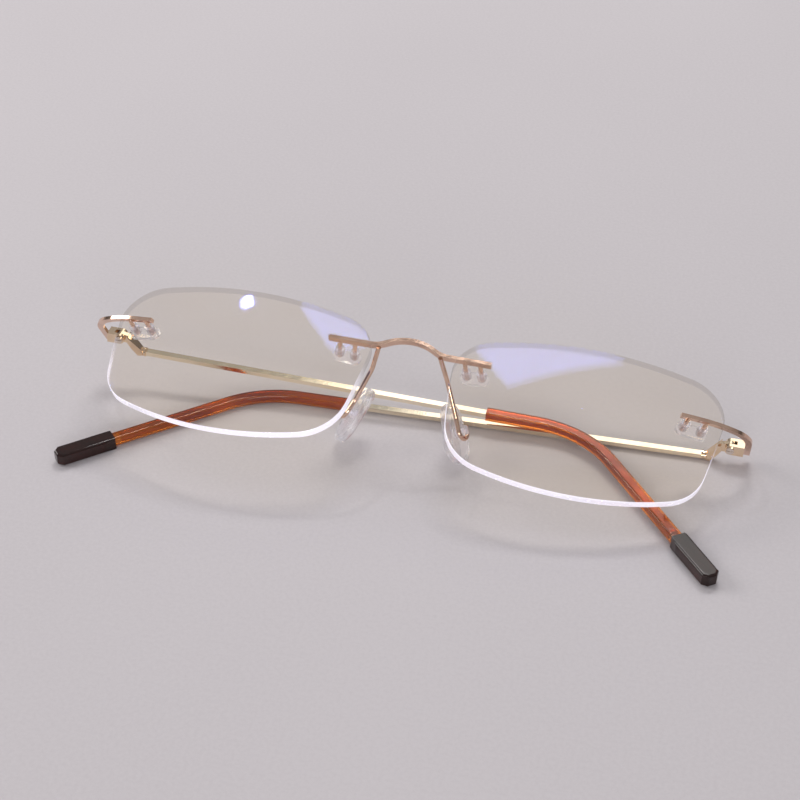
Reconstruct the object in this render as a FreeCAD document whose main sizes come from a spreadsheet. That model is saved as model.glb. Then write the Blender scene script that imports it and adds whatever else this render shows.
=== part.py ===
import FreeCAD
import Part
import Sketcher
import itertools
import math
import os
import re
from FreeCAD import Placement, Rotation, Vector

# Folded rimless eyeglasses, in millimetres, lying on a table: X is the width, Y points up the lenses
# as they are worn, and Z is up from the table. Left and right are the wearer's, so left is +X.
# The front is laid out in its own frame: x across, y up the lenses, z out of the lens faces, with its
# origin in the middle of the bridge bar's line.

SIZES = {
    # lenses
    "lens_front_radius": (135.0, "radius of the lens's front surface"),
    "lens_thickness": (1.7, "centre thickness"),
    "lens_blank_radius": (36.0, "round blank that the lens is edged from"),
    "lens_centre_x": (35.7, "lens axis from the middle"),
    "lens_centre_y": (-3.8, "lens axis above the bridge bar"),
    "lens_centre_z": (-0.4, "front of the lens at its axis"),
    "lens_wrap": (5.0, "turn of each lens towards the face, degrees"),
    "lens_top_outer_x": (28.6, "corner where the top and outer edges would meet"),
    "lens_top_outer_y": (13.15, ""),
    "lens_top_inner_x": (-27.4, "corner where the top and inner edges would meet"),
    "lens_top_inner_y": (10.4, ""),
    "lens_low_inner_x": (-24.4, "corner where the inner and bottom edges would meet"),
    "lens_low_inner_y": (-15.0, ""),
    "lens_low_outer_x": (24.8, "corner where the bottom and outer edges would meet"),
    "lens_low_outer_y": (-12.75, ""),
    "lens_top_bulge": (3.4, "rise of the top edge's arc"),
    "lens_inner_bulge": (0.5, "rise of the inner edge's arc"),
    "lens_bottom_bulge": (5.6, "rise of the bottom edge's arc"),
    "lens_outer_bulge": (0.3, "rise of the outer edge's arc"),
    "lens_top_outer_round": (8.8, "corner radius"),
    "lens_top_inner_round": (8.3, "corner radius"),
    "lens_low_inner_round": (11.0, "corner radius"),
    "lens_low_outer_round": (9.7, "corner radius"),
    "lens_edge_bevel": (0.15, "safety bevel round the edge"),
    # flat wire of the bridge and end pieces
    "wire_height": (0.75, "height of the flat wire"),
    "wire_depth": (1.3, "depth of the flat wire"),
    "bridge_past_pin": (1.95, "end of the bridge bar beyond its outer pin"),
    "bridge_z": (2.9, "centre of the bridge bar in front of the lens axis plane"),
    "arch_half_span": (8.0, "half of the arch where it leaves the straight ends"),
    "arch_rise": (2.4, "rise of the arch"),
    "arch_crown_share": (0.62, "share of the arch's run that the crown arc takes"),
    # mounting pins and their plastic bushes
    "pin_radius": (0.45, "mounting pin"),
    "pin_sink": (0.3, "length of the pin brazed into the wire"),
    "pin_out_behind": (0.5, "pin end beyond the back of the lens"),
    "bridge_pin_x": (13.1, "middle of the pin pair from the middle of the bridge"),
    "bridge_pin_spacing": (3.1, "between the two pins of the bridge"),
    "end_pin_spacing": (3.6, "between the two pins of an end piece"),
    "end_pin_first": (1.3, "first pin from the end piece's tip"),
    "bush_radius": (0.95, "sleeve of the bush, in the lens hole"),
    "bush_flange_radius": (1.45, "ends of the bush's plate behind the lens"),
    "bush_flange": (0.8, "thickness of the bush's plate"),
    "bush_lip": (0.25, "sleeve standing out in front of the lens"),
    "fit_gap": (0.02, "radial clearance of pins, bushes and cores"),
    "seat_gap": (0.08, "clearance where a flat plate faces a curved lens"),
    # end pieces
    "end_tip_x": (54.5, "inner tip of the end piece"),
    "end_tip_y": (-0.65, ""),
    "end_stand_off": (2.2, "gap from the lens face to the end piece"),
    "end_straight": (3.5, "straight run over the two pins"),
    "end_slope": (13.0, "slope of that run, following the lens, degrees"),
    "end_gentle_radius": (20.0, "first, gentle bend"),
    "end_gentle_turn": (24.0, "degrees"),
    "end_tight_radius": (7.5, "second, tight bend"),
    "end_past_hinge": (2.6, "free end beyond the hinge"),
    # hinge
    "hinge_drop": (3.35, "hinge axis in from the end piece's centre line"),
    "hinge_y": (3.25, "hinge above the bridge bar"),
    "hinge_z": (-14.4, "hinge behind the lens axis plane"),
    "tilt_of_lenses": (18.0, "lens plane to the hinge axis, degrees"),
    "knuckle_radius": (1.1, "hinge barrel"),
    "hinge_height": (2.7, "hinge barrel along its axis"),
    "slot_height": (1.1, "slot between the outer knuckles"),
    "slot_radius": (1.65, "depth of the slot round the axis"),
    "tongue_height": (1.0, "middle knuckle"),
    "screw_radius": (0.45, "hinge screw"),
    "screw_clearance": (0.04, "running clearance in the middle knuckle"),
    "screw_head_radius": (0.8, ""),
    "screw_head_height": (0.35, ""),
    "screw_slot_width": (0.22, ""),
    "screw_slot_depth": (0.18, ""),
    # temples
    "temple_offset": (3.0, "temple bar out from the hinge axis"),
    "leaf_start": (1.75, "full-height leaf from the hinge axis"),
    "leaf_gap": (0.15, "open leaf to the end piece's free end"),
    "leaf_end": (4.6, "leaf ends and the collar begins"),
    "leaf_height": (2.3, "leaf where it is widest"),
    "leaf_thickness": (1.5, "leaf where it is widest"),
    "collar_length": (1.0, "collar between leaf and bar"),
    "collar_radius": (1.0, ""),
    "collar_groove": (0.22, "depth of the groove round the collar"),
    "temple_bar_height": (1.45, "gold bar, up as it is worn"),
    "temple_bar_thickness": (0.95, "gold bar, sideways"),
    "temple_straight": (90.8, "hinge axis to the start of the ear bend"),
    "ear_bend_radius": (21.0, ""),
    "ear_bend_left": (42.4, "degrees"),
    "ear_bend_right": (51.3, "degrees"),
    "ear_length": (38.0, "end of the ear bend to the tip"),
    "sleeve_start": (80.2, "sleeve from the hinge axis"),
    "sleeve_height": (2.5, "sleeve, up as it is worn"),
    "sleeve_thickness": (2.1, "sleeve, sideways"),
    "sleeve_round": (0.5, "rounded edges of the sleeve"),
    "core_end_gap": (0.2, "space beyond the core's end"),
    "core_short": (14.0, "gold core ends before the sleeve does"),
    "fold_left": (3.0, "left temple short of parallel to the front when folded, degrees"),
    "fold_right": (0.0, "right temple, degrees"),
    # tips
    "tip_length": (12.4, "dark paddle"),
    "tip_width": (3.7, "paddle in the plane of the temple"),
    "tip_thickness": (2.75, "paddle, sideways"),
    "tip_wall": (0.2, "paddle's neck outside the sleeve"),
    "tip_shoulder": (2.2, "length of the slanted shoulder"),
    "tip_socket": (2.2, "sleeve plugged into the paddle"),
    "tip_round": (0.55, "rounded edges"),
    "tip_chamfer": (1.0, "cut corners of the end"),
    # pads and their arms
    "arm_radius": (0.48, "pad arm wire"),
    "arm_start_x": (6.3, "where the arm is brazed to the bridge"),
    "pad_x": (10.4, "middle of the pad"),
    "pad_y": (-6.7, ""),
    "pad_z": (-13.0, ""),
    "pad_length": (12.6, ""),
    "pad_low_radius": (3.9, "round lower end"),
    "pad_high_radius": (2.9, "round upper end"),
    "pad_thickness": (2.2, ""),
    "pad_round": (0.85, ""),
    "boss_radius": (0.95, "boss between the legs of the arm's hook"),
    "boss_length": (1.9, ""),
    "hook_gap": (0.22, "clearance of the hook round the boss"),
    "core_radius": (0.5, "metal core in the boss"),
    "core_disc_radius": (1.2, "disc of the core inside the pad"),
    "core_disc": (0.4, ""),
    "arm_start_y": (-0.1, ""),
    "arm_knee_x": (7.8, "bend of the arm behind the bridge"),
    "arm_knee_y": (-0.8, ""),
    "arm_knee_z": (-4.0, ""),
    "arm_knee_radius": (3.0, ""),
    "arm_leg_radius": (2.0, "bend where the arm meets its hook"),
    "hook_leg": (2.4, "straight leg down to the hook"),
    "hook_end": (1.2, "leg up beyond the hook"),
    "pad_splay": (22.0, "lower ends apart, degrees"),
    "pad_face_turn": (62.0, "pad face turned towards the nose, degrees"),
    "pad_rake": (26.0, "lower end back, degrees"),
}

X = Vector(1, 0, 0)
Y = Vector(0, 1, 0)
Z = Vector(0, 0, 1)
SIDES = {"left": 1, "right": -1}
METAL = 8.5
PLASTIC = 1.2
PLASTIC_PARTS = ("lens", "bush", "nose_pad", "sleeve", "tip")

doc = FreeCAD.newDocument("rimless_eyeglasses")
sheet = doc.addObject("Spreadsheet::Sheet", "Sizes")
for row, (alias, (value, note)) in enumerate(SIZES.items(), start=1):
    sheet.set(f"A{row}", alias)
    sheet.set(f"B{row}", str(value))
    sheet.set(f"C{row}", note)
    sheet.setAlias(f"B{row}", alias)
doc.recompute()

nodes = {}


def size(alias):
    return float(getattr(sheet, alias))


def formula(text):
    """Words of the text that are sizes, written as the sheet's cells."""
    return re.sub(r"[a-z_]+", lambda word: f"Sizes.{word[0]}" if word[0] in SIZES else word[0], text)


def measure(text):
    return float(sheet.evalExpression(formula(text)))


def bind(obj, **texts):
    for name, text in texts.items():
        obj.setExpression(name, formula(text))


def turn(axis, degrees):
    return Rotation(axis, degrees)


def at(point, rotation=None):
    return Placement(point, rotation or Rotation())


def keep(label, obj, place):
    """Name a finished sub-part and remember its place in the front's frame."""
    obj.Label = label
    nodes[label] = (obj, place)


# ---- sketches, bodies and bent wires ---------------------------------------------------------

def new_body(name):
    return doc.addObject("PartDesign::Body", name)


def new_sketch(body, role, offset=None):
    sketch = body.newObject("Sketcher::SketchObject", f"{body.Name}_sketch")
    plane = next(item for item in body.Origin.OriginFeatures if item.Role == role)
    sketch.AttachmentSupport = [(plane, "")]
    sketch.MapMode = "FlatFace"
    sketch.AttachmentOffset = offset or Placement()
    return sketch


def line(start, end):
    return Part.LineSegment(Vector(*start, 0), Vector(*end, 0))


def arc(centre, radius, first, last):
    """Part of a circle, anticlockwise from the first angle to the last, in degrees."""
    whole = Part.Circle(Vector(*centre, 0), Z, radius)
    return Part.ArcOfCircle(whole, math.radians(first), math.radians(last))


def add_circle(sketch, radius, centre=(0, 0)):
    index = sketch.addGeometry(Part.Circle(Vector(*centre, 0), Z, measure(radius)))
    bound = sketch.addConstraint(Sketcher.Constraint("Radius", index, measure(radius)))
    bind(sketch, **{f"Constraints[{bound}]": radius})


def add_rectangle(sketch, width, height, centre=(0, 0)):
    half_w = measure(width) / 2
    half_h = measure(height) / 2
    signs = ((-1, -1), (1, -1), (1, 1), (-1, 1))
    corners = [(centre[0] + a * half_w, centre[1] + b * half_h) for a, b in signs]
    sides = [sketch.addGeometry(line(corners[i], corners[(i + 1) % 4])) for i in range(4)]
    for i in range(4):
        sketch.addConstraint(Sketcher.Constraint("Coincident", sides[i], 2, sides[(i + 1) % 4], 1))
        sketch.addConstraint(Sketcher.Constraint(("Horizontal", "Vertical")[i % 2], sides[i]))
    for side, text in ((sides[0], width), (sides[1], height)):
        bound = sketch.addConstraint(Sketcher.Constraint("Distance", side, measure(text)))
        bind(sketch, **{f"Constraints[{bound}]": text})


def pad(body, sketch, length, midplane=True, back=False):
    feature = body.newObject("PartDesign::Pad", f"{body.Name}_pad")
    feature.Profile = sketch
    feature.Midplane = midplane
    feature.Reversed = back
    bind(feature, Length=length)
    doc.recompute()
    return feature


def pocket(body, sketch, length):
    """Cut evenly to both sides of the sketch, and make sure that it cut something."""
    before = body.Shape.Volume
    feature = body.newObject("PartDesign::Pocket", f"{body.Name}_pocket")
    feature.Profile = sketch
    feature.Midplane = True
    bind(feature, Length=length)
    doc.recompute()
    if not body.Shape.Volume < before - 1e-6:
        raise RuntimeError(f"{feature.Name} cuts nothing")
    return feature


class Track:
    """A flat path of tangent straight runs and bends: heading in degrees, left turns positive."""

    def __init__(self, start=(0, 0), heading=0.0):
        self.point = Vector(*start, 0)
        self.heading = heading
        self.pieces = []

    def ahead(self):
        return Vector(math.cos(math.radians(self.heading)), math.sin(math.radians(self.heading)), 0)

    def run(self, length):
        end = self.point + self.ahead() * length
        self.pieces.append(Part.LineSegment(self.point, end))
        self.point = end
        return self

    def bend(self, radius, degrees):
        side = 1 if degrees > 0 else -1
        to_centre = Vector(-self.ahead().y, self.ahead().x, 0) * side
        centre = self.point + to_centre * radius
        first = self.heading - 90 * side
        last = first + degrees
        low, high = min(first, last), max(first, last)
        self.pieces.append(arc((centre.x, centre.y), radius, low, high))
        self.heading += degrees
        self.point = centre + Vector(math.cos(math.radians(last)), math.sin(math.radians(last)), 0) * radius
        return self


def pipe(body, track, width, height, heading=0.0, kind="PartDesign::AdditivePipe"):
    """Sweep a rectangle, width in the path's plane, along a track that starts at that heading from x."""
    start = track.pieces[0].StartPoint
    path = new_sketch(body, "XY_Plane")
    path.addGeometry(track.pieces)
    for index, (one, other) in enumerate(zip(track.pieces, track.pieces[1:])):
        ends = [(k + 1, v) for k, v in enumerate((one.StartPoint, one.EndPoint))]
        starts = [(k + 1, v) for k, v in enumerate((other.StartPoint, other.EndPoint))]
        pair = min(((a, b) for a in ends for b in starts), key=lambda p: (p[0][1] - p[1][1]).Length)
        path.addConstraint(Sketcher.Constraint("Coincident", index, pair[0][0], index + 1, pair[1][0]))
    profile = new_sketch(body, "YZ_Plane", at(Vector(0, 0, start.x), turn(Y, heading)))
    add_rectangle(profile, width, height, (start.y, 0))
    sweep = body.newObject(kind, f"{body.Name}_pipe")
    sweep.Profile = profile
    sweep.Spine = path
    doc.recompute()
    return sweep


def round_edges(body, feature, radius, chosen=lambda edge: True):
    names = [f"Edge{i}" for i, edge in enumerate(body.Shape.Edges, start=1) if chosen(edge)]
    fillet = body.newObject("PartDesign::Fillet", f"{body.Name}_round")
    fillet.Base = (feature, names)
    bind(fillet, Radius=radius)
    doc.recompute()
    return fillet


# ---- frames ----------------------------------------------------------------------------------

def lens_place(hand):
    return at(Vector(hand * size("lens_centre_x"), size("lens_centre_y"), size("lens_centre_z")),
              turn(Y, hand * size("lens_wrap")))


def on_lens(hand, across, up):
    """A frame on the lens's front, its z out of the surface: across and up are from the lens axis."""
    radius = size("lens_front_radius")
    sink = math.sqrt(radius ** 2 - across ** 2 - up ** 2) - radius
    lean = math.degrees(math.asin(across / radius))
    return at(Vector(hand * across, up, sink), turn(Y, hand * lean))


def bridge_seat(hand):
    return on_lens(hand, size("bridge_pin_x") - size("lens_centre_x"), -size("lens_centre_y"))


def end_seat(hand):
    middle = size("end_tip_x") + size("end_pin_first") + size("end_pin_spacing") / 2
    return on_lens(hand, middle - size("lens_centre_x"), size("end_tip_y") - size("lens_centre_y"))


def end_tip_z():
    """Centre of the end piece's wire at its tip, in front of the lens axis plane."""
    seat = lens_place(1) * end_seat(1)
    return seat.Base.z + size("end_stand_off") + size("wire_depth") / 2


def hinge_rise():
    """Slope of the end piece from the lens up to the hinge, in degrees."""
    return math.degrees(math.atan2(size("hinge_y") - size("end_tip_y"), end_tip_z() - size("hinge_z")))


def end_piece_track():
    slope = size("end_slope")
    gentle = size("end_gentle_turn")
    tight = 90 - slope - gentle
    depth = (end_tip_z() - size("hinge_z")) / math.cos(math.radians(hinge_rise()))
    track = Track(heading=slope).run(size("end_straight"))
    track.bend(size("end_gentle_radius"), gentle).bend(size("end_tight_radius"), tight)
    return track.run(depth + size("end_past_hinge") - track.point.y)


def hinge_x():
    """Hinge axis from the middle of the front."""
    return size("end_tip_x") + end_piece_track().point.x - size("hinge_drop")


def hinge_place(hand):
    """Hinge frame: x outwards, y up along the hinge axis."""
    lean = math.radians(size("tilt_of_lenses"))
    axis = Vector(0, math.cos(lean), -math.sin(lean))
    outward = X * hand
    place = Vector(hand * hinge_x(), size("hinge_y"), size("hinge_z"))
    return at(place, Rotation(outward, axis, outward.cross(axis), "XYZ"))


def temple_place(side):
    """Folded temple's frame: x along the temple, y up the hinge axis."""
    hand = SIDES[side]
    fold = math.radians(size(f"fold_{side}"))
    lean = math.radians(size("tilt_of_lenses"))
    axis = Vector(0, math.cos(lean), -math.sin(lean))
    front = Vector(0, math.sin(lean), math.cos(lean))
    along = X * (-hand * math.cos(fold)) - front * math.sin(fold)
    return at(hinge_place(hand).Base, Rotation(along, axis, along.cross(axis), "XYZ"))


# ---- lenses ----------------------------------------------------------------------------------

def bulged_side(start, end, bulge):
    """Centre and radius of the arc from start to end that rises by bulge on its right-hand side."""
    chord = end - start
    radius = (chord.Length ** 2 / 4 + bulge ** 2) / (2 * bulge)
    outward = Vector(chord.y, -chord.x, 0).normalize()
    return (start + end) * 0.5 + outward * (bulge - radius), radius


def rounded_corner(corner, before, after, radius):
    """Centre of the corner's arc, which touches the arcs before and after it from inside."""
    (c_one, r_one), (c_two, r_two) = before, after
    reach_one, reach_two = r_one - radius, r_two - radius
    between = c_two - c_one
    along = (reach_one ** 2 - reach_two ** 2 + between.Length ** 2) / (2 * between.Length)
    across = math.sqrt(reach_one ** 2 - along ** 2)
    unit = Vector(between).normalize()
    foot = c_one + unit * along
    square = Vector(-unit.y, unit.x, 0) * across
    return min((foot + square, foot - square), key=lambda point: (point - corner).Length)


def lens_outline(hand):
    """Closed outline of four bulged sides and four rounded corners, anticlockwise."""
    order = ("top_outer", "top_inner", "low_inner", "low_outer")
    corners = [Vector(size(f"lens_{name}_x"), size(f"lens_{name}_y"), 0) for name in order]
    bulges = [size(f"lens_{name}_bulge") for name in ("top", "inner", "bottom", "outer")]
    rounds = [size(f"lens_{name}_round") for name in order]
    sides = [bulged_side(corners[i], corners[(i + 1) % 4], bulges[i]) for i in range(4)]
    touch = []
    for i in range(4):
        centre = rounded_corner(corners[i], sides[i - 1], sides[i], rounds[i])
        ends = [middle + (centre - middle).normalize() * radius for middle, radius in (sides[i - 1], sides[i])]
        touch.append((centre, ends))
    pieces = []
    for i in range(4):
        centre, (first, last) = touch[i]
        halfway = centre + ((first + last) * 0.5 - centre).normalize() * rounds[i]
        pieces.append((first, halfway, last))
        middle, radius = sides[i]
        finish = touch[(i + 1) % 4][1][0]
        halfway = middle + ((last + finish) * 0.5 - middle).normalize() * radius
        pieces.append((last, halfway, finish))
    flip = [[Vector(point.x * hand, point.y, 0) for point in piece] for piece in pieces]
    return [Part.Arc(*points) for points in flip]


def make_lens(side):
    hand = SIDES[side]
    body = new_body(f"{side}_lens")
    radius = size("lens_front_radius")
    inner = radius - size("lens_thickness")
    edge = size("lens_blank_radius")
    sink = math.sqrt(radius ** 2 - edge ** 2) - radius
    back_sink = math.sqrt(inner ** 2 - edge ** 2) - radius
    blank = new_sketch(body, "XZ_Plane")
    top, bottom = (0, 0), (0, -size("lens_thickness"))
    lean = math.degrees(math.asin(edge / radius))
    back_lean = math.degrees(math.asin(edge / inner))
    blank.addGeometry([
        arc((0, -radius), radius, 90 - lean, 90),
        line(top, bottom),
        arc((0, -radius), inner, 90 - back_lean, 90),
        line((edge, back_sink), (edge, sink)),
    ])
    spin = body.newObject("PartDesign::Revolution", f"{side}_lens_blank")
    spin.Profile = blank
    spin.ReferenceAxis = (blank, ["V_Axis"])
    spin.Angle = 360
    doc.recompute()
    waste = new_sketch(body, "XY_Plane")
    add_circle(waste, "lens_blank_radius + 2")
    waste.addGeometry(lens_outline(hand))
    pocket(body, waste, "lens_blank_radius")
    for seat, spacing in ((bridge_seat(hand), "bridge_pin_spacing"), (end_seat(hand), "end_pin_spacing")):
        holes = new_sketch(body, "XY_Plane", seat)
        for sign in (-1, 1):
            add_circle(holes, "bush_radius + fit_gap", (sign * size(spacing) / 2, 0))
        feature = pocket(body, holes, "4 * lens_thickness")
    rim = [f"Edge{i}" for i, edge in enumerate(body.Shape.Edges, start=1) if is_rim(edge)]
    bevel = body.newObject("PartDesign::Chamfer", f"{side}_lens_bevel")
    bevel.Base = (feature, rim)
    bind(bevel, Size="lens_edge_bevel")
    doc.recompute()
    keep(f"{side}_lens", body, lens_place(hand))


def is_rim(edge):
    """Edges round the outline, on the front and the back, and not those round the holes."""
    box = edge.BoundBox
    upright = box.ZLength > 0.8 * size("lens_thickness") and math.hypot(box.XLength, box.YLength) < 0.5
    around_hole = box.XLength < 3 * size("bush_radius") and box.YLength < 3 * size("bush_radius")
    return not upright and not around_hole


# ---- bridge, end pieces, pins and bushes -----------------------------------------------------

def make_bridge():
    """Straight ends over the lenses, and an arch of two feet arcs and a crown arc between them."""
    body = new_body("bridge_bar")
    span, rise = size("arch_half_span"), size("arch_rise")
    slope = math.degrees(2 * math.atan(rise / span))
    radii = span / math.sin(math.radians(slope))
    crown = radii * size("arch_crown_share")
    foot = radii - crown
    half = size("bridge_pin_x") + size("bridge_pin_spacing") / 2 + size("bridge_past_pin")
    track = Track(start=(-half, 0))
    track.run(half - span)
    track.bend(foot, slope).bend(crown, -2 * slope).bend(foot, slope)
    track.run(half - span)
    pipe(body, track, "wire_height", "wire_depth")
    keep("bridge_bar", body, at(Vector(0, 0, size("bridge_z"))))


def make_end_piece(side):
    hand = SIDES[side]
    body = new_body(f"{side}_end_piece")
    pipe(body, end_piece_track(), "wire_depth", "wire_height", heading=size("end_slope"))
    rise = math.radians(hinge_rise())
    back = Vector(0, math.sin(rise), -math.cos(rise))
    outward = X * hand
    place = at(Vector(hand * size("end_tip_x"), size("end_tip_y"), end_tip_z()),
               Rotation(outward, back, outward.cross(back), "XYZ"))
    keep(f"{side}_end_piece", body, place)


def make_pins(label, seats):
    """Round pins from inside the flat wire, through the lens, to just behind it."""
    pins = []
    for hand, seat, spacing, stand_off in seats:
        for sign in (-1, 1):
            pin = doc.addObject("Part::Cylinder", f"{label}_pin")
            bind(pin, Radius="pin_radius", Height=f"{stand_off} + pin_sink + lens_thickness + pin_out_behind")
            low = -size("lens_thickness") - size("pin_out_behind")
            place = lens_place(hand) * seat * at(Vector(sign * size(spacing) / 2, 0, low))
            pin.Placement = place
            pins.append(pin)
    group = doc.addObject("Part::Compound", label)
    group.Links = pins
    doc.recompute()
    keep(label, group, Placement())


def bridge_stand_off():
    """Gap from the lens face to the bridge bar, along a pin."""
    seat = lens_place(1) * bridge_seat(1)
    return size("bridge_z") - size("wire_depth") / 2 - seat.Base.z


def make_bush(label, hand, seat, spacing):
    """Two sleeves through the lens holes, joined by a plate behind the lens."""
    body = new_body(label)
    half = size(spacing) / 2
    reach = size("bush_flange_radius")
    plate_top = size("lens_thickness") + size("seat_gap")
    plate = new_sketch(body, "XY_Plane", at(Vector(0, 0, -plate_top)))
    plate.addGeometry([
        line((-half, -reach), (half, -reach)),
        arc((half, 0), reach, -90, 90),
        line((half, reach), (-half, reach)),
        arc((-half, 0), reach, 90, 270),
    ])
    pad(body, plate, "bush_flange", midplane=False, back=True)
    sleeves = new_sketch(body, "XY_Plane", at(Vector(0, 0, size("bush_lip"))))
    for sign in (-1, 1):
        add_circle(sleeves, "bush_radius", (sign * half, 0))
    pad(body, sleeves, "bush_lip + lens_thickness + seat_gap + bush_flange / 2", midplane=False, back=True)
    bores = new_sketch(body, "XY_Plane")
    for sign in (-1, 1):
        add_circle(bores, "pin_radius + fit_gap", (sign * half, 0))
    pocket(body, bores, "6 * lens_thickness")
    keep(label, body, lens_place(hand) * seat)


# ---- hinges ----------------------------------------------------------------------------------

def make_front_leaf(side):
    """Outer knuckles and the block that joins them to the inside of the end piece."""
    hand = SIDES[side]
    body = new_body(f"{side}_front_hinge_leaf")
    reach = size("hinge_drop") - size("wire_depth") / 2
    radius = size("knuckle_radius")
    block = new_sketch(body, "XZ_Plane")
    block.addGeometry([
        arc((0, 0), radius, 90, 270),
        line((0, -radius), (reach, -radius)),
        line((reach, -radius), (reach, radius)),
        line((reach, radius), (0, radius)),
    ])
    pad(body, block, "hinge_height")
    slot = new_sketch(body, "XZ_Plane")
    add_circle(slot, "slot_radius")
    pocket(body, slot, "slot_height")
    bore = new_sketch(body, "XZ_Plane")
    add_circle(bore, "screw_radius")
    pocket(body, bore, "2 * hinge_height")
    keep(f"{side}_front_hinge_leaf", body, hinge_place(hand))


def make_screw(side):
    """Slotted screw up through all three knuckles, its head below the lower one."""
    body = new_body(f"{side}_hinge_screw")
    half = size("hinge_height") / 2
    head, shaft = size("screw_head_radius"), size("screw_radius")
    low = -half - size("screw_head_height")
    profile = new_sketch(body, "XY_Plane")
    points = [(0, low), (head, low), (head, -half), (shaft, -half), (shaft, half), (0, half)]
    profile.addGeometry([line(points[i - 1], points[i]) for i in range(len(points))])
    spin = body.newObject("PartDesign::Revolution", f"{side}_hinge_screw_turned")
    spin.Profile = profile
    spin.ReferenceAxis = (profile, ["V_Axis"])
    spin.Angle = 360
    doc.recompute()
    cut = new_sketch(body, "XZ_Plane", at(Vector(0, 0, -low)))
    add_rectangle(cut, "3 * screw_head_radius", "screw_slot_width")
    pocket(body, cut, "2 * screw_slot_depth")
    keep(f"{side}_hinge_screw", body, hinge_place(SIDES[side]))


# ---- temples ---------------------------------------------------------------------------------
# A temple's bar line runs beside the hinge axis, away from the head: that is local +z on the left
# temple and local -z on the right one.

def bar_place(side):
    return temple_place(side) * at(Vector(0, 0, SIDES[side] * size("temple_offset")))


def ear_track(side, start, stop_short=0.0):
    """The temple's line from a distance behind the hinge to just short of the tip's end."""
    bend = size(f"ear_bend_{side}")
    track = Track(start=(start, 0)).run(size("temple_straight") - start)
    return track.bend(size("ear_bend_radius"), -bend).run(size("ear_length") - stop_short)


def make_temple_leaf(side):
    """Middle knuckle, and the leaf that slants out to the bar and narrows to its height."""
    body = new_body(f"{side}_temple_hinge_leaf")
    out = SIDES[side]
    radius = size("knuckle_radius")
    start, end = size("leaf_start"), size("leaf_end")
    half = size("leaf_thickness") / 2
    offset = size("temple_offset")
    barrel = new_sketch(body, "XZ_Plane")
    add_circle(barrel, "knuckle_radius")
    pad(body, barrel, "tongue_height")
    tongue = new_sketch(body, "XZ_Plane")
    outline = [(0, -radius), (start + half, -radius / 2), (start + half, radius), (0, radius)]
    tongue.addGeometry([line((x1, out * z1), (x2, out * z2)) for (x1, z1), (x2, z2)
                        in zip(outline, outline[1:] + outline[:1])])
    pad(body, tongue, "tongue_height")
    slant = new_sketch(body, "XZ_Plane")
    outline = [(start, -half), (end, offset - half), (end, offset + half), (end - half, offset + half)]
    outline += [(size("end_past_hinge") + size("leaf_gap"), offset - half), (start, half)]
    slant.addGeometry([line((x1, out * z1), (x2, out * z2)) for (x1, z1), (x2, z2)
                       in zip(outline, outline[1:] + outline[:1])])
    pad(body, slant, "leaf_height")
    wide, narrow = size("leaf_height"), size("temple_bar_height") / 2
    for sign in (-1, 1):
        taper = new_sketch(body, "XY_Plane")
        corners = [(start + half, sign * wide / 2), (end, sign * narrow), (end + half, sign * narrow)]
        corners += [(end + half, sign * wide), (start + half, sign * wide)]
        taper.addGeometry([line(corners[i - 1], corners[i]) for i in range(len(corners))])
        pocket(body, taper, "6 * temple_offset")
    bore = new_sketch(body, "XZ_Plane")
    add_circle(bore, "screw_radius + screw_clearance")
    pocket(body, bore, "2 * hinge_height")
    keep(f"{side}_temple_hinge_leaf", body, temple_place(side))


def make_collar(side):
    """Turned collar with one groove, between the leaf and the bar."""
    body = new_body(f"{side}_temple_collar")
    start, length = size("leaf_end"), size("collar_length")
    full, waist = size("collar_radius"), size("collar_radius") - size("collar_groove")
    first, second = start + length / 3, start + 2 * length / 3
    points = [(start, 0), (start, full), (first, full), (first, waist), (second, waist), (second, full)]
    points += [(start + length, full), (start + length, 0)]
    profile = new_sketch(body, "XY_Plane")
    profile.addGeometry([line(points[i - 1], points[i]) for i in range(len(points))])
    spin = body.newObject("PartDesign::Revolution", f"{side}_collar_turned")
    spin.Profile = profile
    spin.ReferenceAxis = (profile, ["H_Axis"])
    spin.Angle = 360
    doc.recompute()
    keep(f"{side}_temple_collar", body, bar_place(side))


def make_temple_bar(side):
    """Gold bar from the collar through the sleeve, where it is the sleeve's core."""
    body = new_body(f"{side}_temple_bar")
    track = ear_track(side, size("leaf_end") + size("collar_length"), size("core_short"))
    pipe(body, track, "temple_bar_height", "temple_bar_thickness")
    keep(f"{side}_temple_bar", body, bar_place(side))


def make_sleeve(side):
    """Translucent sleeve over the ear bend, its bore the core's shape with a small gap."""
    body = new_body(f"{side}_temple_sleeve")
    start = size("sleeve_start")
    body_short = size("tip_length") - size("tip_socket")
    pipe(body, ear_track(side, start, body_short), "sleeve_height", "sleeve_thickness")
    outer = body.Tip
    along = [edge for edge in body.Shape.Edges if edge.Length > size("ear_bend_radius") / 3]
    lengths = {round(edge.Length, 4) for edge in along}
    rounded = round_edges(body, outer, "sleeve_round", lambda edge: round(edge.Length, 4) in lengths)
    body.Tip = rounded
    core = ear_track(side, start, size("core_short") - size("core_end_gap"))
    gap = "2 * fit_gap"
    pipe(body, core, f"temple_bar_height + {gap}", f"temple_bar_thickness + {gap}",
         kind="PartDesign::SubtractivePipe")
    keep(f"{side}_temple_sleeve", body, bar_place(side))


def tip_place(side):
    """Frame at the start of the paddle, x along it."""
    track = ear_track(side, 0.0, size("tip_length"))
    return bar_place(side) * at(track.point, turn(Z, track.heading))


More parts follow.
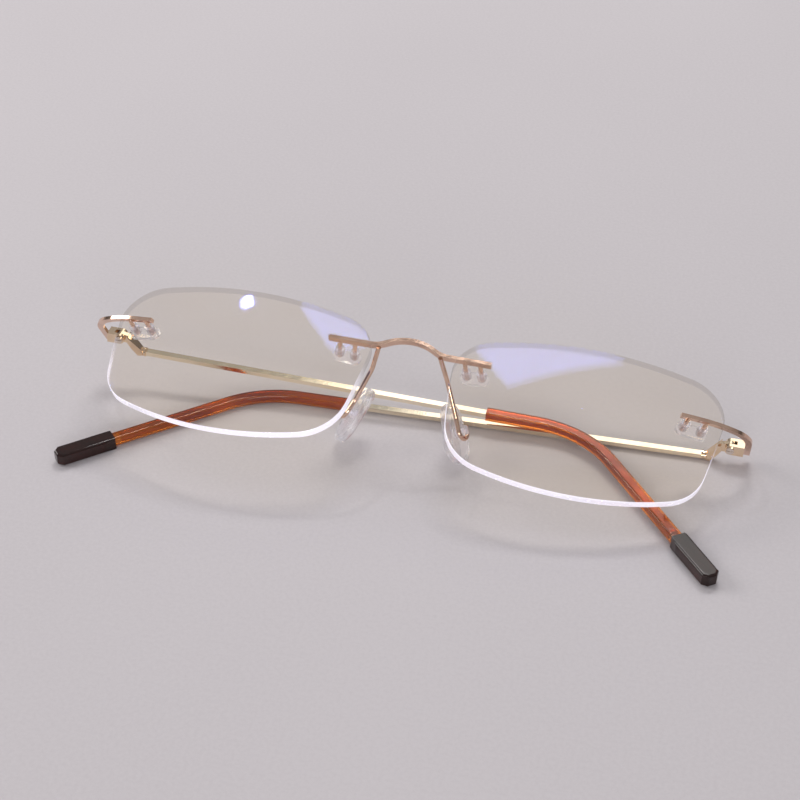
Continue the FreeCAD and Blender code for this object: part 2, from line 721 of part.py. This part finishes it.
def make_tip(side):
    """Dark paddle: a slanted shoulder below, cut corners at the end and a socket for the sleeve."""
    body = new_body(f"{side}_temple_tip")
    length, half = size("tip_length"), size("tip_width") / 2
    neck = size("sleeve_height") / 2 + size("tip_wall")
    cut, shoulder = size("tip_chamfer"), size("tip_shoulder")
    outline = [(0, -neck), (shoulder, -half), (length - cut, -half), (length, cut - half)]
    outline += [(length, half - cut), (length - cut, half), (shoulder / 2, half), (0, neck)]
    face = new_sketch(body, "XY_Plane")
    face.addGeometry([line(outline[i - 1], outline[i]) for i in range(len(outline))])
    block = pad(body, face, "tip_thickness")
    round_edges(body, block, "tip_round", lambda edge: edge.BoundBox.ZLength < size("tip_thickness") / 2
                and edge.BoundBox.XMin > size("tip_round") / 10)
    socket = new_sketch(body, "YZ_Plane")
    add_rectangle(socket, "sleeve_height + 2 * fit_gap", "sleeve_thickness + 2 * fit_gap")
    pocket(body, socket, "2 * tip_socket + 2 * fit_gap")
    keep(f"{side}_temple_tip", body, tip_place(side))


# ---- nose pads -------------------------------------------------------------------------------

def pad_place(side):
    """Pad frame at the middle of the boss: y up the pad, z out of the pad's front."""
    hand = SIDES[side]
    splay, rake = math.radians(size("pad_splay")), math.radians(size("pad_rake"))
    face = math.radians(size("pad_face_turn"))
    up = Vector(-hand * math.sin(splay), math.cos(splay) * math.cos(rake), math.cos(splay) * math.sin(rake))
    out = Vector(hand * math.sin(face), 0, math.cos(face))
    out = (out - up * out.dot(up)).normalize()
    middle = Vector(hand * size("pad_x"), size("pad_y"), size("pad_z"))
    boss = middle + out * ((size("pad_thickness") + size("boss_length")) / 2)
    return at(boss, Rotation(up.cross(out), up, out, "XYZ"))


def pad_face_depth():
    return size("boss_length") / 2


def make_pad(side):
    """Soft drop-shaped pad with rounded edges and a round boss, hollow where the core sits."""
    body = new_body(f"{side}_nose_pad")
    low, high = size("pad_low_radius"), size("pad_high_radius")
    reach = size("pad_length") / 2
    low_y, high_y = low - reach, reach - high
    lean = math.degrees(math.asin((low - high) / (high_y - low_y)))
    drop = new_sketch(body, "XY_Plane", at(Vector(0, 0, -pad_face_depth())))
    cosine, sine = math.cos(math.radians(lean)), math.sin(math.radians(lean))
    drop.addGeometry([
        arc((0, high_y), high, lean, 180 - lean),
        line((-high * cosine, high_y + high * sine), (-low * cosine, low_y + low * sine)),
        arc((0, low_y), low, 180 - lean, 360 + lean),
        line((low * cosine, low_y + low * sine), (high * cosine, high_y + high * sine)),
    ])
    block = pad(body, drop, "pad_thickness", midplane=False, back=True)
    round_edges(body, block, "pad_round")
    boss = new_sketch(body, "XY_Plane", at(Vector(0, 0, pad_face_depth())))
    add_circle(boss, "boss_radius")
    pad(body, boss, "boss_length + pad_thickness / 3", midplane=False, back=True)
    hollow = body.newObject("PartDesign::Groove", f"{side}_pad_hollow")
    hollow.Profile = core_profile(body, size("fit_gap"))
    hollow.ReferenceAxis = (hollow.Profile[0], ["V_Axis"])
    hollow.Angle = 360
    before = body.Shape.Volume
    doc.recompute()
    if not body.Shape.Volume < before - 1e-6:
        raise RuntimeError("the pad's hollow cuts nothing")
    keep(f"{side}_nose_pad", body, pad_place(side))


def core_profile(body, gap):
    """Half section of the core: a post up the boss on a disc inside the pad."""
    post, disc = size("core_radius") + gap, size("core_disc_radius") + gap
    top = pad_face_depth()
    disc_top = -pad_face_depth() - size("pad_thickness") / 3 + gap
    bottom = disc_top - size("core_disc") - 2 * gap
    profile = new_sketch(body, "XZ_Plane")
    points = [(0, bottom), (disc, bottom), (disc, disc_top), (post, disc_top), (post, top), (0, top)]
    profile.addGeometry([line(points[i - 1], points[i]) for i in range(len(points))])
    return profile


def make_pad_core(side):
    body = new_body(f"{side}_pad_core")
    spin = body.newObject("PartDesign::Revolution", f"{side}_pad_core_turned")
    spin.Profile = core_profile(body, 0.0)
    spin.ReferenceAxis = (spin.Profile[0], ["V_Axis"])
    spin.Angle = 360
    doc.recompute()
    keep(f"{side}_pad_core", body, pad_place(side))


def bent_wire(points, radii):
    """Straight runs through the points, each inner point rounded by a tangent arc."""
    edges = []
    last = points[0]
    for before, corner, after, radius in zip(points, points[1:], points[2:], radii):
        back = (before - corner).normalize()
        ahead = (after - corner).normalize()
        half = back.getAngle(ahead) / 2
        reach = radius / math.tan(half)
        middle = corner + (back + ahead).normalize() * (radius / math.sin(half) - radius)
        edges.append(Part.LineSegment(last, corner + back * reach).toShape())
        edges.append(Part.Arc(corner + back * reach, middle, corner + ahead * reach).toShape())
        last = corner + ahead * reach
    edges.append(Part.LineSegment(last, points[-1]).toShape())
    return edges


def make_pad_arm(side):
    """Round wire from behind the bridge bar, out and back, then round under the pad's boss in a hook.

    The leg of the hook on the side nearer the lenses carries on up to the bridge.
    """
    hand = SIDES[side]
    place = pad_place(side)
    across = place.Rotation.multVec(X)
    up = place.Rotation.multVec(Y)
    forward = across * math.copysign(1, across.z)
    reach = size("boss_radius") + size("hook_gap") + size("arm_radius")
    near = place.Base + forward * reach
    far = place.Base - forward * reach
    knee = Vector(hand * size("arm_knee_x"), size("arm_knee_y"), size("arm_knee_z"))
    start = Vector(hand * size("arm_start_x"), size("arm_start_y"), size("bridge_z") - size("wire_depth") / 4)
    points = [start, knee, near + up * size("hook_leg"), near]
    edges = bent_wire(points, [size("arm_knee_radius"), size("arm_leg_radius")])
    edges.append(Part.Arc(near, place.Base - up * reach, far).toShape())
    edges.append(Part.LineSegment(far, far + up * size("hook_end")).toShape())
    spine = doc.addObject("Part::Feature", f"{side}_pad_arm_line")
    spine.Shape = Part.Wire(edges)
    ring = doc.addObject("Part::Circle", f"{side}_pad_arm_section")
    bind(ring, Radius="arm_radius")
    ring.Placement = at(start, Rotation(Z, knee - start))
    sweep = doc.addObject("Part::Sweep", f"{side}_pad_arm")
    sweep.Sections = [ring]
    sweep.Spine = (spine, [f"Edge{i + 1}" for i in range(len(edges))])
    sweep.Solid = True
    sweep.Frenet = False
    doc.recompute()
    keep(f"{side}_pad_arm", sweep, Placement())


# ---- the whole pair --------------------------------------------------------------------------

make_bridge()
make_pins("bridge_pins", [(hand, bridge_seat(hand), "bridge_pin_spacing", bridge_stand_off())
                          for hand in SIDES.values()])
for side, hand in SIDES.items():
    make_lens(side)
    make_end_piece(side)
    make_pins(f"{side}_end_piece_pins", [(hand, end_seat(hand), "end_pin_spacing", "end_stand_off")])
    make_bush(f"{side}_bridge_bush", hand, bridge_seat(hand), "bridge_pin_spacing")
    make_bush(f"{side}_end_piece_bush", hand, end_seat(hand), "end_pin_spacing")
    make_front_leaf(side)
    make_screw(side)
    make_temple_leaf(side)
    make_collar(side)
    make_temple_bar(side)
    make_sleeve(side)
    make_tip(side)
    make_pad(side)
    make_pad_core(side)
    make_pad_arm(side)


def lowest_points(points):
    """The points that touch first when a flat table comes up at slopes of up to 12 degrees."""
    found = []
    for slope in range(0, 13, 2):
        for heading in range(0, 360, 20):
            down = turn(Z, heading).multVec(turn(X, slope).multVec(Z)) * -1
            point = max(points, key=down.dot)
            if all((point - other).Length > 0.01 for other in found):
                found.append(point)
    return found


def inside(corners, point):
    """Whether the point is over the triangle, seen from above."""
    turns = [(corners[i] - corners[i - 1]).cross(point - corners[i - 1]).z for i in range(3)]
    return min(turns) >= 0 or max(turns) <= 0


def table_normal(points, weight):
    """Upward normal of the table that the points rest on, with the weight between its contacts."""
    touching = lowest_points(points)
    best = (math.inf, Z)
    for corners in itertools.combinations(touching, 3):
        normal = (corners[1] - corners[0]).cross(corners[2] - corners[0])
        if normal.Length < 1 or not inside(corners, weight):
            continue
        normal.normalize()
        normal = normal * math.copysign(1, normal.z)
        below = max((corners[0] - point).dot(normal) for point in touching)
        best = min(best, (below, normal), key=lambda item: item[0])
    return best[1]


def stand_on_table():
    """Rest the folded pair on its temples, lowest point at z = 0, middle of its footprint at the origin."""
    front = turn(X, size("tilt_of_lenses"))
    points = []
    weight = Vector()
    total = 0.0
    for label, (obj, place) in nodes.items():
        obj.Placement = at(Vector(), front) * place
        points += obj.Shape.tessellate(0.1)[0]
        mass = obj.Shape.Volume * (PLASTIC if label.endswith(PLASTIC_PARTS) else METAL)
        middles = [solid.CenterOfMass * solid.Volume for solid in obj.Shape.Solids]
        weight += sum(middles[1:], middles[0]) * (mass / obj.Shape.Volume)
        total += mass
    normal = table_normal(points, weight * (1 / total))
    sideways = Y.cross(normal).normalize()
    settle = Rotation(sideways, normal.cross(sideways), normal, "XYZ").inverted()
    front = settle * front
    box = FreeCAD.BoundBox()
    for obj, place in nodes.values():
        obj.Placement = at(Vector(), front) * place
        box.add(obj.Shape.optimalBoundingBox(True, False))
    down = Vector(-box.Center.x, -box.Center.y, -box.ZMin)
    for obj, place in nodes.values():
        obj.Placement = at(down, front) * place


stand_on_table()
doc.recompute()

for obj in doc.Objects:
    if set(obj.State) & {"Invalid", "Error"}:
        raise RuntimeError(f"{obj.Label} failed: {obj.State}")
for label, (obj, place) in nodes.items():
    if obj.Shape.isNull() or not obj.Shape.isValid():
        raise RuntimeError(f"{label} has no valid shape")

os.makedirs("parts", exist_ok=True)
for label, (obj, place) in nodes.items():
    obj.Shape.exportStep(f"parts/{label}.step")
print(len(nodes), "sub-parts written")
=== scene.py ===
"""Rimless eyeglasses: materials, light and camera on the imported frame."""

import math

import bpy
from mathutils import Matrix, Vector


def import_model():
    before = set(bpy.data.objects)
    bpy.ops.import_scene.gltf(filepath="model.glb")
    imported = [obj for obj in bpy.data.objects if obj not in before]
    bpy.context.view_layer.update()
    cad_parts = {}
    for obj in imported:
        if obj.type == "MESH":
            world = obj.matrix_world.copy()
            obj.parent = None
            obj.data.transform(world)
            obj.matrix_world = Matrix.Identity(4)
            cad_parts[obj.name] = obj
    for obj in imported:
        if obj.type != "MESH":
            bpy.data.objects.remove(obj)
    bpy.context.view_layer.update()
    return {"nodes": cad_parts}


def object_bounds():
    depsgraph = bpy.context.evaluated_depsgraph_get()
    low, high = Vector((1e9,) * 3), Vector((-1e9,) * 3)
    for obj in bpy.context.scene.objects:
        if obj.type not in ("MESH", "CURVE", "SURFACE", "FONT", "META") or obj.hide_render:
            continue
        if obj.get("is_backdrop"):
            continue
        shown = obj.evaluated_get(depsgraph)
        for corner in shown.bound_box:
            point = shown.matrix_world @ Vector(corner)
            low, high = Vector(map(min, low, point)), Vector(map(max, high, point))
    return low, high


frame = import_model()


# ---------------------------------------------------------------- node helpers
class Nodes:
    """A material's node tree, with short calls for the nodes used here."""

    def __init__(self, name):
        self.material = bpy.data.materials.new(name)
        self.material.use_nodes = True
        self.tree = self.material.node_tree
        self.tree.nodes.clear()
        self.output = self.add("ShaderNodeOutputMaterial")
        self.place = self.add("ShaderNodeTexCoord").outputs["Object"]

    def add(self, kind, **values):
        node = self.tree.nodes.new(kind)
        for name, value in values.items():
            setattr(node, name, value)
        return node

    def join(self, source, target):
        self.tree.links.new(source, target)

    def noise(self, scale, detail=3.0, rough=0.55, stretch=None):
        """Noise over the surface; scale is features per metre, stretch scales each axis."""
        node = self.add("ShaderNodeTexNoise")
        node.inputs["Scale"].default_value = scale
        node.inputs["Detail"].default_value = detail
        node.inputs["Roughness"].default_value = rough
        place = self.place
        if stretch:
            mapping = self.add("ShaderNodeMapping")
            mapping.inputs["Scale"].default_value = stretch
            self.join(place, mapping.inputs["Vector"])
            place = mapping.outputs["Vector"]
        self.join(place, node.inputs["Vector"])
        return node.outputs["Fac"]

    def spread(self, source, low, high, start=0.3, stop=0.7):
        """source between start and stop becomes low to high."""
        node = self.add("ShaderNodeMapRange")
        for name, value in (("From Min", start), ("From Max", stop), ("To Min", low), ("To Max", high)):
            node.inputs[name].default_value = value
        self.join(source, node.inputs["Value"])
        return node.outputs["Result"]

    def ramp(self, source, *stops):
        """Colours along source; each stop is (place, colour)."""
        node = self.add("ShaderNodeValToRGB")
        elements = node.color_ramp.elements
        while len(elements) < len(stops):
            elements.new(0.5)
        for element, (place, colour) in zip(elements, stops):
            element.position = place
            element.color = (*colour, 1.0)
        self.join(source, node.inputs["Fac"])
        return node.outputs["Color"]

    def math(self, operation, first, second=None):
        node = self.add("ShaderNodeMath", operation=operation)
        for socket, value in zip(node.inputs, (first, second)):
            if isinstance(value, (int, float)):
                socket.default_value = value
            elif value is not None:
                self.join(value, socket)
        return node.outputs["Value"]

    def bump(self, height, distance, strength=1.0):
        node = self.add("ShaderNodeBump")
        node.inputs["Distance"].default_value = distance
        node.inputs["Strength"].default_value = strength
        self.join(height, node.inputs["Height"])
        return node.outputs["Normal"]

    def principled(self, colour=None, roughness=None, normal=None, **settings):
        """A Principled shader; colour, roughness and normal may be sockets or plain values."""
        node = self.add("ShaderNodeBsdfPrincipled")
        for name, value in (("Base Color", colour), ("Roughness", roughness), ("Normal", normal)):
            if isinstance(value, bpy.types.NodeSocket):
                self.join(value, node.inputs[name])
            elif isinstance(value, tuple):
                node.inputs[name].default_value = (*value, 1.0)
            elif value is not None:
                node.inputs[name].default_value = value
        for name, value in settings.items():
            node.inputs[name.replace("_", " ")].default_value = value
        return node

    def mix(self, factor, first, second):
        """A Mix Shader from first to second; factor is a socket or a number."""
        node = self.add("ShaderNodeMixShader")
        if isinstance(factor, bpy.types.NodeSocket):
            self.join(factor, node.inputs[0])
        else:
            node.inputs[0].default_value = factor
        self.join(first.outputs[0], node.inputs[1])
        self.join(second.outputs[0], node.inputs[2])
        return node

    def along(self, vector, direction):
        """How far a vector socket reaches along a fixed direction."""
        node = self.add("ShaderNodeVectorMath", operation="DOT_PRODUCT")
        self.join(vector, node.inputs[0])
        node.inputs[1].default_value = direction
        return node.outputs["Value"]

    def show(self, shader):
        self.join(shader.outputs[0], self.output.inputs["Surface"])
        return self.material


# ---------------------------------------------------------------- materials
# Both lenses face nearly one way: out of their front faces, and from their middles to their top edges.
LENS_AXIS = Vector((0.050, -0.296, 0.954)).normalized()
LENS_UP = Vector((0.016, 0.955, 0.296)).normalized()
# The lens edge goes from pale with a painted glow (painted light standing in for the light a lens carries to its
# lower edge) to clear between these distances along LENS_UP, in metres.
PAINTED_GLOW_BELOW, CLEAR_ABOVE = 0.004, 0.0125


def plated_metal(name, bright, deep, polish=0.12):
    """Gold-tone plating: fine polishing lines, slight colour drift and soft wear."""
    n = Nodes(name)
    drift = n.noise(260, detail=4)
    colour = n.ramp(drift, (0.15, deep), (0.75, bright))
    lines = n.noise(2600, detail=5, stretch=(1.0, 0.25, 1.0))
    smudge = n.noise(420, detail=3)
    roughness = n.math("ADD", n.spread(smudge, polish * 0.6, polish * 1.5), n.spread(lines, 0.0, 0.05))
    normal = n.bump(lines, 0.000012, 0.5)
    shader = n.principled(colour, roughness, normal, Metallic=1.0)
    return n.show(shader)


def lens_material():
    """Coated clear lens: see-through faces with a blue-violet sheen; the edge is pale and glows a little
    below the middle, standing in for the light a lens carries to its edge, and is clear above it."""
    n = Nodes("coated_lens")
    facing = n.along(n.add("ShaderNodeTexCoord").outputs["Normal"], LENS_AXIS)
    # 0 on the faces, which look within 30 degrees of LENS_AXIS, and 1 on the edge, which stands across it.
    edge = n.spread(n.math("ABSOLUTE", facing), 1.0, 0.0, 0.72, 0.86)

    dust = n.noise(1500, detail=6, rough=0.7)
    smear = n.noise(55, detail=3, stretch=(1.0, 2.2, 1.0))
    tint = n.ramp(smear, (0.30, (0.997, 0.974, 0.925)), (0.70, (1.0, 0.983, 0.942)))
    clear = n.add("ShaderNodeBsdfTransparent")
    n.join(tint, clear.inputs["Color"])
    sheen = n.add("ShaderNodeBsdfAnisotropic")
    sheen.inputs["Color"].default_value = (0.26, 0.34, 1.0, 1.0)
    n.join(n.spread(smear, 0.012, 0.05), sheen.inputs["Roughness"])
    n.join(n.bump(dust, 0.000004, 0.2), sheen.inputs["Normal"])
    # Rises towards grazing angles as Fresnel does, but is the same from both sides of the lens.
    slope = n.add("ShaderNodeLayerWeight").outputs["Facing"]
    gloss = n.math("ADD", n.math("MULTIPLY", n.math("POWER", slope, 5.0), 0.85), 0.018)
    face = n.mix(gloss, clear, sheen)

    polish = n.noise(900, detail=4, stretch=(1.0, 1.0, 3.0))
    # Painted light: a pale frosted edge with a faint lavender emission glow, standing in for light the lens
    # carries to its lower edge.
    pale = n.principled(
        n.ramp(polish, (0.3, (0.90, 0.88, 0.97)), (0.7, (0.97, 0.96, 1.0))),
        n.spread(polish, 0.14, 0.30),
        n.bump(polish, 0.00002, 0.4),
        Transmission_Weight=0.45,
        IOR=1.5,
        Coat_Weight=0.6,
        Coat_Roughness=0.08,
        Emission_Color=(0.86, 0.84, 1.0, 1.0),
        Emission_Strength=0.50,
    )
    glassy = n.add("ShaderNodeBsdfTransparent")
    glassy.inputs["Color"].default_value = (0.84, 0.828, 0.82, 1.0)
    # Painted light by position: below the middle the edge gets the pale glowing shader, above it the edge stays
    # clear.
    top = n.spread(n.along(n.place, LENS_UP), 0.0, 1.0, PAINTED_GLOW_BELOW, CLEAR_ABOVE)
    return n.show(n.mix(edge, face, n.mix(top, pale, glassy)))


def clear_plastic(name, low, high, see_through=0.35, roughness=0.06, ior=1.45):
    """Clear moulded plastic or silicone with faint flow marks and frosting, and a faint painted glow (emission)
    standing in for bright edge highlights.
    """
    n = Nodes(name)
    flow = n.noise(700, detail=4)
    haze = n.noise(2400, detail=3)
    solid = n.principled(
        n.ramp(flow, (0.3, low), (0.7, high)),
        n.spread(haze, roughness * 0.5, roughness * 2.2),
        n.bump(flow, 0.00003, 0.35),
        Transmission_Weight=0.92,
        IOR=ior,
        # Painted highlight: a faint lavender emission makes the clear parts glow a little, standing in for their
        # bright edges.
        Emission_Color=(0.90, 0.89, 1.0, 1.0),
        Emission_Strength=0.05,
    )
    window = n.add("ShaderNodeBsdfTransparent")
    window.inputs["Color"].default_value = (*high, 1.0)
    return n.show(n.mix(see_through, solid, window))


def amber_plastic(name, deep, bright, transmission, roughness=0.07, coat=0.6):
    """Translucent amber acetate: streaked colour, moulded gloss, tiny surface waves."""
    n = Nodes(name)
    streak = n.noise(180, detail=5, stretch=(0.35, 1.0, 1.0))
    waves = n.noise(520, detail=3)
    shader = n.principled(
        n.ramp(streak, (0.28, deep), (0.72, bright)),
        n.spread(waves, roughness * 0.6, roughness * 1.7),
        n.bump(waves, 0.00003, 0.35),
        Transmission_Weight=transmission,
        IOR=1.49,
        Coat_Weight=coat,
        Coat_Roughness=0.04,
    )
    return n.show(shader)


def floor_material():
    """Smooth matt grey-mauve board with a barely visible fibre."""
    n = Nodes("board")
    fibre = n.noise(1300, detail=6, rough=0.65)
    cloud = n.noise(6, detail=2)
    shade = n.math("ADD", n.spread(fibre, -0.42, 0.42), cloud)
    colour = n.ramp(shade, (0.2, (0.565, 0.531, 0.548)), (0.8, (0.600, 0.566, 0.582)))
    shader = n.principled(colour, n.spread(fibre, 0.72, 0.9), n.bump(fibre, 0.00006, 0.5))
    shader.inputs["Specular IOR Level"].default_value = 0.25
    return n.show(shader)


LOOKS = {
    "lens": lens_material(),
    "gold_wire": plated_metal("rose_gold_wire", (0.86, 0.62, 0.48), (0.64, 0.41, 0.31), 0.08),
    "gold_pin": plated_metal("rose_gold_pin", (0.93, 0.70, 0.55), (0.82, 0.56, 0.42), 0.14),
    "gold_hinge": plated_metal("gold_hinge", (0.93, 0.76, 0.56), (0.76, 0.56, 0.38), 0.13),
    "hinge_screw": plated_metal("hinge_screw", (0.86, 0.80, 0.74), (0.62, 0.52, 0.44), 0.16),
    "pad_arm_wire": plated_metal("pad_arm_wire", (0.86, 0.63, 0.49), (0.64, 0.42, 0.32), 0.09),
    "temple_gold": plated_metal("pale_gold_temple", (0.98, 0.89, 0.72), (0.91, 0.77, 0.55), 0.08),
    "amber_sleeve": amber_plastic("amber_sleeve", (0.42, 0.085, 0.005), (0.84, 0.25, 0.020), 0.80, 0.05, 0.2),
    "dark_tip": amber_plastic("dark_amber_tip", (0.008, 0.0015, 0.001), (0.045, 0.006, 0.002), 0.55, 0.05, 0.05),
    "clear_pad": clear_plastic("silicone_pad", (0.93, 0.92, 0.97), (0.98, 0.98, 1.0), 0.40, 0.08, 1.41),
    "pad_core": clear_plastic("pad_boss", (0.90, 0.89, 0.93), (0.97, 0.96, 0.98), 0.35, 0.08, 1.5),
    "clear_bush": clear_plastic("clear_bush", (0.93, 0.92, 0.95), (0.98, 0.98, 1.0), 0.40, 0.05, 1.48),
}
for node in frame["nodes"].values():
    for material_slot in node.material_slots:
        material_slot.material = LOOKS[material_slot.material.name.split(".")[0]]


# ---------------------------------------------------------------- floor and light
def floor():
    """A plain board under the object."""
    mesh = bpy.data.meshes.new("floor")
    half, gap = 3.0, 0.00002
    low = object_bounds()[0][2] - gap
    mesh.from_pydata(
        [(-half, -half, low), (half, -half, low), (half, half, low), (-half, half, low)], [], [(0, 1, 2, 3)]
    )
    board = bpy.data.objects.new("floor", mesh)
    bpy.context.collection.objects.link(board)
    board.data.materials.append(floor_material())
    board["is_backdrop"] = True


def softbox(name, place, size, watts, colour=(1.0, 1.0, 1.0), turn=0.0, shape="RECTANGLE", level=False):
    """An area light at place, facing the glasses or, if level, straight down, turned about its own axis."""
    light = bpy.data.lights.new(name, "AREA")
    light.shape = shape
    light.size, light.size_y = size
    light.energy = watts
    light.color = colour
    lamp = bpy.data.objects.new(name, light)
    aim = Matrix.Identity(4) if level else Vector(place).to_track_quat("Z", "Y").to_matrix().to_4x4()
    lamp.matrix_world = Matrix.Translation(place) @ aim @ Matrix.Rotation(math.radians(turn), 4, "Z")
    bpy.context.collection.objects.link(lamp)
    return lamp


def world():
    """A dim room: pale overhead, darker towards the horizon, so the metal has streaks to reflect."""
    room = bpy.data.worlds.new("room")
    room.use_nodes = True
    tree = room.node_tree
    tree.nodes.clear()
    output = tree.nodes.new("ShaderNodeOutputWorld")
    background = tree.nodes.new("ShaderNodeBackground")
    background.inputs["Strength"].default_value = 1.0
    ramp = tree.nodes.new("ShaderNodeValToRGB")
    place = tree.nodes.new("ShaderNodeTexCoord")
    split = tree.nodes.new("ShaderNodeSeparateXYZ")
    stops = ((0.0, 0.42), (0.18, 0.10), (0.45, 0.34), (1.0, 0.42))
    elements = ramp.color_ramp.elements
    while len(elements) < len(stops):
        elements.new(0.5)
    for element, (height, level) in zip(elements, stops):
        element.position = height
        element.color = (level, level * 0.985, level, 1.0)
    tree.links.new(place.outputs["Generated"], split.inputs[0])
    tree.links.new(split.outputs["Z"], ramp.inputs["Fac"])
    tree.links.new(ramp.outputs["Color"], background.inputs["Color"])
    tree.links.new(background.outputs[0], output.inputs["Surface"])
    bpy.context.scene.world = room


def camera():
    """Looks down at the folded glasses from beyond the lenses' lower edges, a little towards +X."""
    azimuth, elevation, roll = (math.radians(angle) for angle in (14.985, 37.062, -1.269))
    distance, aside, raised = 0.351286, 0.000498, 0.013445
    back = Vector(
        (math.sin(azimuth) * math.cos(elevation), -math.cos(azimuth) * math.cos(elevation), math.sin(elevation))
    )
    right = Vector((math.cos(azimuth), math.sin(azimuth), 0.0))
    up = back.cross(right)
    across = math.cos(roll) * right + math.sin(roll) * up
    upward = math.cos(roll) * up - math.sin(roll) * right
    place = back * distance + across * aside + upward * raised
    data = bpy.data.cameras.new("camera")
    data.sensor_width = 36.0
    data.lens = 77.98
    data.clip_start = 0.01
    data.clip_end = 20.0
    holder = bpy.data.objects.new("camera", data)
    holder.matrix_world = Matrix.Translation(place) @ Matrix((across, upward, back)).transposed().to_4x4()
    bpy.context.collection.objects.link(holder)
    bpy.context.scene.camera = holder


floor()
world()
camera()
softbox("key", (-0.026, 0.642, 1.0), (0.45, 0.355), 4.9, turn=38.0, level=True)
softbox("back", (-0.02, 1.30, 1.02), (0.62, 0.34), 0.95, (1.0, 0.98, 0.94))
softbox("spot", (-0.484, 0.631, 1.0), (0.048, 0.038), 1.0, turn=20.0, shape="ELLIPSE", level=True)
softbox("left", (-1.1, 0.1, 0.6), (0.7, 0.5), 5.5, (1.0, 0.98, 0.98))
softbox("front", (0.35, -1.2, 0.45), (1.0, 0.35), 8.0, (0.99, 0.98, 1.0))
view = bpy.context.scene.view_settings
view.view_transform = "Standard"
view.look = "None"
